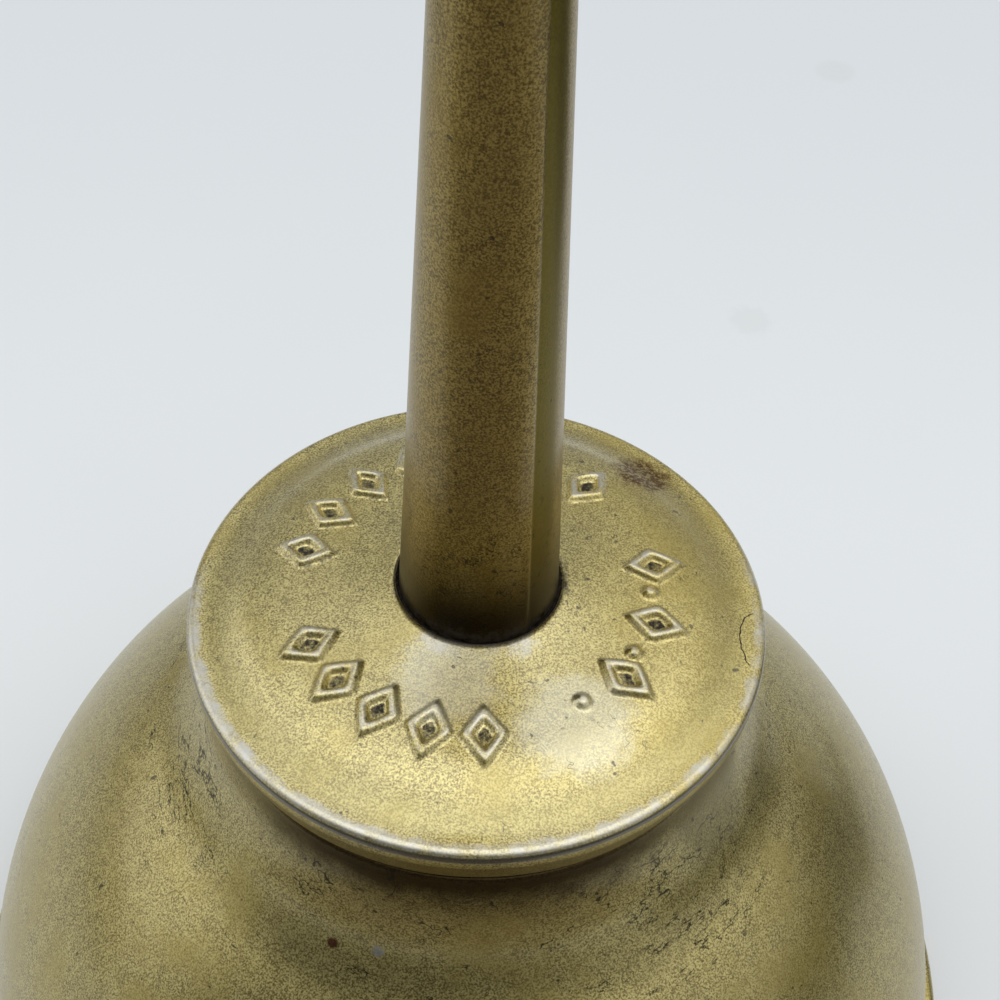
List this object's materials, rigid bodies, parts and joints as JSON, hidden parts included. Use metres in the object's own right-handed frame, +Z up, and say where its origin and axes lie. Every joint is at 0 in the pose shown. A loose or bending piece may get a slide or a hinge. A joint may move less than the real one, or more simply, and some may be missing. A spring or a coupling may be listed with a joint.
{
  "type": "thumb-pump bench oiler",
  "caption": "Steel bell-shaped oil can with a springy thumb-pressed bottom and a long tapered spout on a beaded screw cap.",
  "frame": {"origin": "centre of the circle that the can stands on", "axes": "+Z up along the can's and the spout's common axis; -Y faces the viewer"},
  "size_m": [0.086, 0.086, 0.1537],
  "materials": {
    "can_lacquer": "dull olive-bronze lacquer with a fine speckle, scratched and chipped",
    "cap_lacquer": "gold-bronze lacquer with a fine speckle, worn to bare steel on the bead",
    "spout_lacquer": "brown-gold lacquer with a fine speckle, chipped",
    "spring_steel": "tinned spring steel with turning marks and oil stain",
    "brass": "turned brass, tarnished",
    "solder": "dull tin solder",
    "leather": "oil-dark leather"
  },
  "bodies": {
    "can": {"body_shell": "can_lacquer", "neck_ring": "brass", "neck_solder": "solder", "spring_bottom": "spring_steel", "seam_solder": "solder"},
    "thumb": {"thumb_plate": "spring_steel"},
    "washer": {"leather_washer": "leather"},
    "spout_assembly": {"cap_flange": "cap_lacquer", "cap_thread_ring": "brass", "spout_tube": "spout_lacquer", "spout_solder": "solder"}
  },
  "joints": [
    {"name": "bottom_push", "type": "slide", "parent": "can", "child": "thumb", "axis": [0, 0, 1], "range_m": [0, 0.0025], "stiffness_N_per_m": 8000, "deforming": ["spring_bottom"]},
    {"name": "cap_lift", "type": "slide", "parent": "can", "child": "washer", "axis": [0, 0, 1], "range_m": [0, 0.003]},
    {"name": "cap_turn", "type": "hinge", "parent": "washer", "child": "spout_assembly", "pos_m": [0, 0, 0.0526], "axis": [0, 0, 1], "range_deg": [0, 720]}
  ],
  "couplings": [
    {"joint": "cap_turn", "follows": "cap_lift", "rad_per_m": 4188.8}
  ]
}
